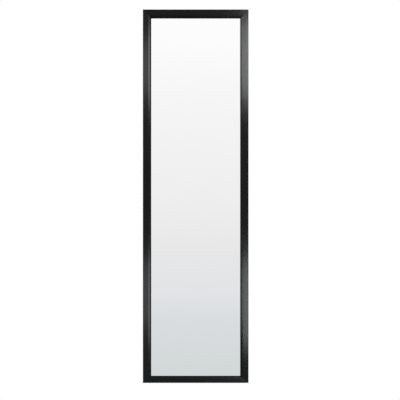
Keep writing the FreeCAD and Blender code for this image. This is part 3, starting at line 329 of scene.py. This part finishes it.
def zinc_plated_strip(name, style, balls=None):
    """Cold-rolled steel strip, roll-formed and zinc-plated."""
    # Rolling leaves streaks along the strip, and the zinc dulls in clouds of about 25 mm. Real
    # streaks are 0.2 mm wide and are drawn 0.9 mm wide, so that they show. The balls leave a
    # polished line on their track, under a film of grease that is smeared 4 by 18 mm.
    made, tree, place = blank(name)
    streaks = add(tree, "TexNoise", {"Scale": 1.0, "Detail": 4.0, "Vector": add(tree, "Mapping", {
        "Vector": place, "Scale": (0.070, 0.0009, 0.0009)}, vector_type="TEXTURE")})
    clouds = add(tree, "TexNoise", {"Scale": 1.0, "Detail": 4.0, "Vector": add(tree, "Mapping", {
        "Vector": place, "Location": (2, 2, 2), "Scale": (0.040, 0.025, 0.025)},
        vector_type="TEXTURE")})
    tone = add(tree, "Mix", {
        "Factor": add(tree, "MapRange", {**NARROW, "Value": clouds, "To Max": 0.7}),
        6: style.zinc, 7: style.zinc_dull}, **COLOURS)
    rough = add(tree, "MapRange", {**BROAD, "Value": streaks, "To Min": 0.27, "To Max": 0.4})
    if balls:
        low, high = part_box(balls)
        radius = (high.y - low.y) / 2
        part = add(tree, "SeparateXYZ", {"Vector": place}).node.outputs
        rise = add(tree, "Math", {0: part["Z"]}, operation="ABSOLUTE")
        off_line = add(tree, "CombineXYZ", {
            "Y": add(tree, "Math", {0: part["Y"], 1: low.y + radius}, operation="SUBTRACT"),
            "Z": add(tree, "Math", {0: rise, 1: high.z - radius}, operation="SUBTRACT")})
        near = add(tree, "MapRange", {
            "Value": add(tree, "VectorMath", {0: off_line}, out="Value", operation="LENGTH"),
            "From Min": radius + GREASE_REACH / 4, "From Max": radius + GREASE_REACH,
            "To Min": 0.8, "To Max": 0.0})
        smears = add(tree, "TexNoise", {"Scale": 1.0, "Detail": 3.0, "Vector": add(
            tree, "Mapping", {"Vector": place, "Location": (5, 5, 5),
                              "Scale": (0.018, 0.004, 0.004)}, vector_type="TEXTURE")})
        smeared = add(tree, "MapRange", {
            "Value": smears, "From Min": 0.35, "From Max": 0.6, "To Min": 0.35})
        film = add(tree, "Math", {0: smeared, 1: near}, operation="MULTIPLY", use_clamp=True)
        tone = add(tree, "Mix", {"Factor": film, 6: tone, 7: style.grease}, **COLOURS)
        rough = add(tree, "MapRange", {"Value": film, "To Min": rough, "To Max": GREASED})
    close(tree, {
        "Base Color": tone, "Metallic": 1.0, "Roughness": rough,
        "Normal": add(tree, "Bump", {"Height": streaks, "Distance": 0.006 / MM})})
    return made


def zinc_plated_screw(name, style):
    """Cold-headed steel screw, barrel-plated with zinc."""
    # Barrel plating leaves small knocks and a soft, even sheen in patches of 1.6 mm.
    made, tree, place = blank(name)
    knocks = add(tree, "TexNoise", {"Vector": place, "Scale": MM / 1.6, "Detail": 5.0})
    close(tree, {
        "Base Color": add(tree, "Mix", {
            "Factor": add(tree, "MapRange", {**NARROW, "Value": knocks}),
            6: style.zinc, 7: style.zinc_dull}, **COLOURS),
        "Metallic": 1.0,
        "Roughness": add(tree, "MapRange", {
            **BROAD, "Value": knocks, "To Min": 0.22, "To Max": 0.4}),
        "Normal": add(tree, "Bump", {"Height": knocks, "Distance": 0.02 / MM})})
    return made


def polished_steel(name, style, rings):
    """Hardened steel, ground and polished, or turned where it has rings along Z."""
    # A lapped ball is nearly a mirror, and its tone changes only over its own width, 4 mm. A
    # turned pin keeps fine tool rings, which are 0.15 mm apart and are drawn 0.6 mm apart.
    made, tree, place = blank(name)
    marks = add(tree, "TexNoise", {"Scale": 1.0, "Detail": 3.0, "Vector": add(tree, "Mapping", {
        "Vector": place, "Scale": (0.030, 0.030, 0.0006) if rings else (0.004, 0.004, 0.004)},
        vector_type="TEXTURE")})
    close(tree, {
        "Base Color": add(tree, "Mix", {
            "Factor": add(tree, "MapRange", {**BROAD, "Value": marks}),
            6: style.polished, 7: toned(style.polished, 0.82)}, **COLOURS),
        "Metallic": 1.0,
        "Roughness": add(tree, "MapRange", {
            **BROAD, "Value": marks, "To Min": 0.08, "To Max": 0.26 if rings else 0.14}),
        "Normal": add(tree, "Bump", {
            "Height": marks, "Distance": (0.008 if rings else 0.001) / MM})})
    return made


def black_powder_coat(name, style):
    """Polyester powder, sprayed on pressed steel and baked."""
    # The coat flows to a half-matt orange peel of about 2.5 mm, over a grit of 0.6 mm that
    # stands a third as high. Its black is paler in clouds of 40 mm.
    made, tree, place = blank(name)
    peel = add(tree, "TexNoise", {"Vector": place, "Scale": MM / 2.5, "Detail": 2.0})
    grit = add(tree, "TexNoise", {"Scale": 1.0, "Detail": 3.0, "Vector": add(tree, "Mapping", {
        "Vector": place, "Location": (4, 4, 4), "Scale": (0.0006, 0.0006, 0.0006)},
        vector_type="TEXTURE")})
    clouds = add(tree, "TexNoise", {"Scale": 1.0, "Detail": 4.0, "Vector": add(tree, "Mapping", {
        "Vector": place, "Location": (1, 1, 1), "Scale": (0.040, 0.040, 0.040)},
        vector_type="TEXTURE")})
    rise = add(tree, "Math", {0: grit, 1: 0.35, 2: peel}, operation="MULTIPLY_ADD")
    close(tree, {
        "Base Color": add(tree, "Mix", {
            "Factor": add(tree, "MapRange", {**NARROW, "Value": clouds}),
            6: style.powder, 7: toned(style.powder, 1.45)}, **COLOURS),
        "Roughness": add(tree, "MapRange", {
            **BROAD, "Value": grit, "To Min": 0.42, "To Max": 0.56}),
        "Normal": add(tree, "Bump", {"Height": rise, "Distance": 0.035 / MM})})
    return made


def moulded_rubber(name, style):
    """EPDM rubber, compression moulded."""
    # The rubber is matt black, with a grey bloom in patches of about 5 mm. The blasted mould
    # leaves a skin with a grain of 0.2 mm, drawn 0.7 mm wide so that it shows.
    made, tree, place = blank(name)
    bloom = add(tree, "TexNoise", {"Vector": place, "Scale": MM / 5, "Detail": 4.0})
    skin = add(tree, "TexNoise", {"Scale": 1.0, "Detail": 2.0, "Vector": add(tree, "Mapping", {
        "Vector": place, "Location": (6, 6, 6), "Scale": (0.0007, 0.0007, 0.0007)},
        vector_type="TEXTURE")})
    close(tree, {
        "Base Color": add(tree, "Mix", {
            "Factor": add(tree, "MapRange", {
                "Value": bloom, "From Min": 0.45, "From Max": 0.75, "To Max": 0.6}),
            6: style.rubber, 7: style.rubber_bloom}, **COLOURS),
        "Roughness": add(tree, "MapRange", {
            **BROAD, "Value": bloom, "To Min": 0.62, "To Max": 0.85}),
        "Normal": add(tree, "Bump", {"Height": skin, "Distance": 0.04 / MM})})
    return made


def moulded_nylon(name, style):
    """Natural nylon 66, injection moulded."""
    # Light goes a little way into the off-white nylon, whose tone changes in patches of 6 mm. The
    # mould leaves a satin with a grain of 0.2 mm, drawn 0.9 mm wide so that it shows.
    made, tree, place = blank(name)
    satin = add(tree, "TexNoise", {"Vector": place, "Scale": MM / 0.9, "Detail": 3.0})
    patches = add(tree, "TexNoise", {"Vector": place, "Scale": MM / 6, "Detail": 3.0})
    close(tree, {
        "Base Color": add(tree, "Mix", {
            "Factor": add(tree, "MapRange", {**BROAD, "Value": patches}),
            6: style.nylon, 7: toned(style.nylon, 0.9)}, **COLOURS),
        "Roughness": add(tree, "MapRange", {
            **BROAD, "Value": satin, "To Min": 0.36, "To Max": 0.5}),
        "IOR": 1.53, "Subsurface Weight": 0.25, "Subsurface Scale": 0.002,
        "Normal": add(tree, "Bump", {"Height": satin, "Distance": 0.015 / MM})})
    return made


def dress(material, *names):
    """Gives a material to every slot of these nodes."""
    for name in names:
        for holder in nodes[name].material_slots:
            holder.material = material


class DressFrame(Operator):
    """Finishes the stiles, the rails and their corner keys"""

    bl_idname = "closet_mirror.dress_frame"
    bl_label = "Dress the frame"

    def execute(self, context):
        style = context.scene.closet_mirror.frame
        dress(black_anodised_aluminium("black_anodised_aluminium_upright", style, (0, 0, 1)),
              "left_stile", "right_stile")
        dress(black_anodised_aluminium("black_anodised_aluminium_level", style, (1, 0, 0)),
              "top_rail", "bottom_rail")
        dress(cast_aluminium("cast_aluminium_keys", style),
              "top_left_corner_key", "top_right_corner_key",
              "bottom_left_corner_key", "bottom_right_corner_key")
        return {"FINISHED"}


class DressGlass(Operator):
    """Finishes the silvered glass and the board behind it"""

    bl_idname = "closet_mirror.dress_glass"
    bl_label = "Dress the glass and board"

    def execute(self, context):
        style = context.scene.closet_mirror.glass
        dress(silvered_float_glass("silvered_float_glass", style), "mirror_glass")
        dress(tempered_hardboard("tempered_hardboard", style), "backing_board")
        return {"FINISHED"}


class BuildFoam(Operator):
    """Cuts the foam sheet that lies between the glass and the board"""

    bl_idname = "closet_mirror.build_foam"
    bl_label = "Build the foam sheet"

    def execute(self, context):
        style = context.scene.closet_mirror.glass
        low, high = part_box("foam_sheet")
        shape = bmesh.new()
        bmesh.ops.create_cube(shape, size=1.0, matrix=Matrix.Translation((low + high) / 2)
                              @ Matrix.Diagonal((*(high - low), 1)))
        bmesh.ops.bevel(shape, geom=shape.edges[:], affect="EDGES", offset=style.foam_edge,
                        segments=3, profile=0.5, material=-1)
        mesh = bpy.data.meshes.new("skived_foam")
        shape.to_mesh(mesh)
        shape.free()
        mesh.materials.append(closed_cell_foam("closed_cell_foam", style))
        piece = bpy.data.objects.new("skived_foam", mesh)
        context.scene.collection.objects.link(piece)
        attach(piece, "mirror_panel")
        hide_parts("foam_sheet")
        return {"FINISHED"}


class DressSlide(Operator):
    """Finishes the wall plate, the telescopic slide and its balls, and the swivel's two plates"""

    bl_idname = "closet_mirror.dress_slide"
    bl_label = "Dress the slide"

    def execute(self, context):
        style = context.scene.closet_mirror.steel
        dress(black_powder_coat("black_powder_coat", style),
              "wall_plate", "swivel_bracket", "hinge_leaf")
        dress(zinc_plated_strip("zinc_plated_outer_strip", style, "outer_balls"),
              "outer_slide_member", "outer_ball_cage")
        dress(zinc_plated_strip("zinc_plated_inner_strip", style, "inner_balls"),
              "middle_slide_member", "inner_slide_member", "inner_ball_cage")
        dress(zinc_plated_screw("zinc_plated_rivet", style), "slide_rivets")
        dress(polished_steel("lapped_ball_steel", style, False), "outer_balls", "inner_balls")
        dress(moulded_rubber("moulded_rubber", style), "slide_end_bumper", "parking_bumper")
        return {"FINISHED"}


class DressSwivel(Operator):
    """Finishes the swivel pin, its bushes, the clips and all the screws"""

    bl_idname = "closet_mirror.dress_swivel"
    bl_label = "Dress the swivel and fixings"

    def execute(self, context):
        style = context.scene.closet_mirror.steel
        dress(polished_steel("turned_pin_steel", style, True),
              "swivel_pin", "spring_washer", "pin_clip")
        dress(moulded_nylon("moulded_nylon", style), "upper_bush", "lower_bush")
        dress(zinc_plated_screw("zinc_plated_screw", style), "bracket_screws", "leaf_screws",
              "corner_screws", "clip_screws", "bumper_screw")
        dress(zinc_plated_strip("zinc_plated_clip", style), "backing_clips")
        return {"FINISHED"}


# The frame's members, and the tones of the lamps.
LEFT, RIGHT, RAILS = ("left_stile",), ("right_stile",), ("top_rail", "bottom_rail")
FRAME_MEMBERS = LEFT + RIGHT + RAILS
WHITE, COOL, COOLER = "#FFFFFF", "#F7FBFF", "#F3FFFE"
# Each lamp has a name, its place, width and height in metres, and a glow, where 1 is white. A
# sheen lamp also has a tone and the members that it lights, and it lights nothing else: the dark
# film of a member shows little but the lamps that it mirrors. The first eight stand where the
# flat or a slope of a stile mirrors them forwards, the foot lamp fills in below them, and the
# last five make the sheen that is seen from the sides and from behind.
SHEEN_LAMPS = (
    ("right_upper", (0.39, -1.55, 0.66), 0.20, 0.38, 48.5, COOL, RIGHT + RAILS),
    ("right_lower", (0.42, -1.55, -0.50), 0.20, 0.41, 38.5, COOLER, RIGHT + RAILS),
    ("far_left_upper", (-0.98, -1.55, 0.72), 0.44, 0.37, 40.7, WHITE, RIGHT),
    ("far_left_lower", (-1.06, -1.55, -0.51), 0.40, 0.33, 30.6, WHITE, RIGHT),
    ("near_left_upper", (-0.24, -1.55, 0.62), 0.60, 0.25, 4.4, WHITE, LEFT),
    ("near_left_lower", (-0.20, -1.55, -0.46), 0.50, 0.31, 4.4, WHITE, LEFT),
    ("slope_upper", (0.68, -1.55, 0.66), 0.90, 0.38, 11.8, WHITE, LEFT),
    ("slope_lower", (0.68, -1.55, -0.50), 0.90, 0.41, 9.6, COOLER, LEFT),
    ("foot", (0.0, -1.55, -0.86), 1.00, 0.36, 0.35, COOLER, LEFT + RAILS),
    ("side_right", (2.3, 0.3, -0.30), 0.5, 0.6, 7.0, WHITE, FRAME_MEMBERS),
    ("side_left", (-2.3, 0.3, -0.30), 0.5, 0.6, 7.0, WHITE, FRAME_MEMBERS),
    ("rear_right", (1.5, 1.7, -0.35), 0.5, 0.6, 7.0, WHITE, FRAME_MEMBERS),
    ("rear_left", (-1.5, 1.7, -0.35), 0.5, 0.6, 7.0, WHITE, FRAME_MEMBERS),
    ("rear_middle", (0.2, 2.3, 0.40), 0.8, 0.4, 7.0, WHITE, FRAME_MEMBERS))
# The soft lamps light everything.
SOFT_LAMPS = (
    ("key", (-2.2, -2.2, 1.8), 1.4, 1.4, 2.5),
    ("rear", (1.9, 2.4, 1.7), 1.6, 1.6, 2.5))
# A lamp is aimed at the mirror's upright middle line, at this share of its own height.
AIM_HEIGHT = 0.7

# What a glossy surface sees of the studio, from low to high: how far up it looks, where 1 is
# straight up and -1 straight down, and the colour there. The studio pales from a grey floor
# area to white.
STUDIO_HEIGHTS = (
    (-0.20, "#CDD4D5"), (-0.155, "#D5DADB"), (-0.11, "#DCDFE1"), (-0.09, "#E3E5E7"),
    (-0.05, "#E9E9EA"), (0.0, "#F0F0F0"), (0.09, "#F7F7F7"), (0.15, "#FEFEFE"))
STRAIGHT_DOWN = "#8E8E8E"
# The ramp of these colours runs from this far down to this far up.
RAMP_REACH = 0.2
# How much of the floor, where it is looked at, is plain white and not its lit paint.
FLOOR_WHITE = 0.5
# The floor is whole to this share of its radius, and fades out from there.
FLOOR_WHOLE = 0.6


class SetStage(Operator):
    """Sets the floor, the studio light and the camera"""

    bl_idname = "closet_mirror.set_stage"
    bl_label = "Set the studio"

    def execute(self, context):
        studio = context.scene.closet_mirror.studio
        self.lay_floor(context, studio)
        self.light_world(context, studio)
        for lamp in SHEEN_LAMPS + SOFT_LAMPS:
            self.hang_lamp(context, *lamp)
        lens = bpy.data.cameras.new("studio_camera")
        lens.sensor_width = 36.0
        lens.lens = lens.sensor_width * studio.camera_distance / studio.view_height
        camera = bpy.data.objects.new("studio_camera", lens)
        camera.location = (studio.camera_aside, cad_box[0].y - studio.camera_distance,
                           -studio.camera_drop)
        camera.rotation_euler = (math.pi / 2, 0, 0)
        context.scene.collection.objects.link(camera)
        context.scene.camera = camera
        context.scene.view_settings.view_transform = "Standard"
        return {"FINISHED"}

    def hang_lamp(self, context, name, place, width, height, glow, tone=WHITE, members=()):
        """Hangs a soft rectangular lamp that faces the mirror, and lights only its members if
        it has any."""
        lamp = bpy.data.lights.new(name, "AREA")
        lamp.shape, lamp.size, lamp.size_y = "RECTANGLE", width, height
        lamp.energy = glow * math.pi * width * height
        lamp.color = linear(tone)[:3]
        holder = bpy.data.objects.new(name, lamp)
        holder.location = place
        aim = Vector((0, cad_box[0].y, place[2] * AIM_HEIGHT)) - Vector(place)
        holder.rotation_euler = aim.to_track_quat("-Z", "Y").to_euler()
        holder.visible_camera = False
        context.scene.collection.objects.link(holder)
        if members:
            lit = bpy.data.collections.new("lit_by_" + name)
            for member in members:
                lit.objects.link(nodes[member])
            holder.light_linking.receiver_collection = lit

    def lay_floor(self, context, studio):
        """Lays a round floor that fades into the white."""
        # Its matt paint was rolled on, which leaves faint clouds 90 mm wide.
        shape = bmesh.new()
        bmesh.ops.create_circle(shape, cap_ends=True, segments=96, radius=studio.floor_radius,
                                matrix=Matrix.Translation((0, 0, -studio.floor_drop)))
        mesh = bpy.data.meshes.new("studio_floor")
        shape.to_mesh(mesh)
        shape.free()
        made, tree, place = blank("painted_studio_floor")
        mottle = add(tree, "TexNoise", {"Vector": place, "Scale": MM / 90, "Detail": 3.0})
        paint = add(tree, "BsdfPrincipled", {
            "Base Color": add(tree, "Mix", {
                "Factor": mottle, 6: studio.floor, 7: toned(studio.floor, 0.98)}, **COLOURS),
            "Roughness": 0.8})
        white = add(tree, "Math", {0: looked_at(tree), 1: FLOOR_WHITE}, operation="MULTIPLY")
        shown = add(tree, "MixShader", {0: white, 1: paint, 2: add(tree, "Emission")})
        flat = add(tree, "VectorMath", {0: place, 1: (1, 1, 0)}, operation="MULTIPLY")
        faded = add(tree, "MapRange", {
            "Value": add(tree, "VectorMath", {0: flat}, out="Value", operation="LENGTH"),
            "From Min": studio.floor_radius * FLOOR_WHOLE, "From Max": studio.floor_radius})
        add(tree, "OutputMaterial", {"Surface": add(tree, "MixShader", {
            0: faded, 1: shown, 2: add(tree, "BsdfTransparent")})})
        mesh.materials.append(made)
        floor = bpy.data.objects.new("studio_floor", mesh)
        context.scene.collection.objects.link(floor)

    def light_world(self, context, studio):
        """Shows the camera plain white and glossy surfaces a room that pales upwards, and lights
        everything evenly."""
        world = bpy.data.worlds.new("studio_light")
        context.scene.world = world
        world.use_nodes = True
        tree = world.node_tree
        tree.nodes.clear()
        rise = add(tree, "SeparateXYZ", {
            "Vector": add(tree, "TexCoord", out="Generated")}, out="Z")
        ramp = add(tree, "ValToRGB", {"Fac": add(tree, "MapRange", {
            "Value": rise, "From Min": -RAMP_REACH, "From Max": RAMP_REACH})})
        stops = ramp.node.color_ramp.elements
        places = [(up + RAMP_REACH) / RAMP_REACH / 2 for up, shade in STUDIO_HEIGHTS]
        for at in places[1:-1]:
            stops.new(at)
        stops[-1].position = places[-1]
        for stop, (up, shade) in zip(stops, STUDIO_HEIGHTS):
            stop.color = linear(shade)
        falling = add(tree, "MapRange", {
            "Value": rise, "From Min": -RAMP_REACH, "From Max": -1.0})
        room = add(tree, "Mix", {"Factor": falling, 6: ramp, 7: linear(STRAIGHT_DOWN)}, **COLOURS)
        glossy = add(tree, "LightPath", out="Is Glossy Ray")
        seen = add(tree, "Mix", {"Factor": glossy, 6: linear(WHITE), 7: room}, **COLOURS)
        even = add(tree, "Background", {"Color": linear(WHITE), "Strength": studio.fill})
        backdrop = add(tree, "Background", {"Color": seen, "Strength": 1.0})
        add(tree, "OutputWorld", {"Surface": add(tree, "MixShader", {
            0: looked_at(tree), 1: even, 2: backdrop})})


class ClosetMirrorPanel(Panel):
    """Lists the steps and the settings of the closet mirror"""

    bl_idname = "VIEW3D_PT_closet_mirror"
    bl_label = "Closet Mirror"
    bl_space_type = "VIEW_3D"
    bl_region_type = "UI"
    bl_category = "Closet Mirror"

    def draw(self, context):
        settings = context.scene.closet_mirror
        for step in STEPS:
            self.layout.operator(step.bl_idname)
        for group in (settings.frame, settings.glass, settings.steel, settings.studio):
            box = self.layout.box()
            for name in group.__annotations__:
                box.prop(group, name)


STEPS = (DressFrame, DressGlass, BuildFoam, DressSlide, DressSwivel, SetStage)
CLASSES = (FrameFinish, GlassFinish, SteelFinish, Studio, ClosetMirror, *STEPS, ClosetMirrorPanel)


def register():
    for kind in CLASSES:
        bpy.utils.register_class(kind)
    bpy.types.Scene.closet_mirror = PointerProperty(type=ClosetMirror)


def unregister():
    del bpy.types.Scene.closet_mirror
    for kind in reversed(CLASSES):
        bpy.utils.unregister_class(kind)


def main():
    """Runs every step in order."""
    register()
    steps = bpy.ops.closet_mirror
    steps.dress_frame()
    steps.dress_glass()
    steps.build_foam()
    steps.dress_slide()
    steps.dress_swivel()
    steps.set_stage()


if __name__ == "__main__":
    main()
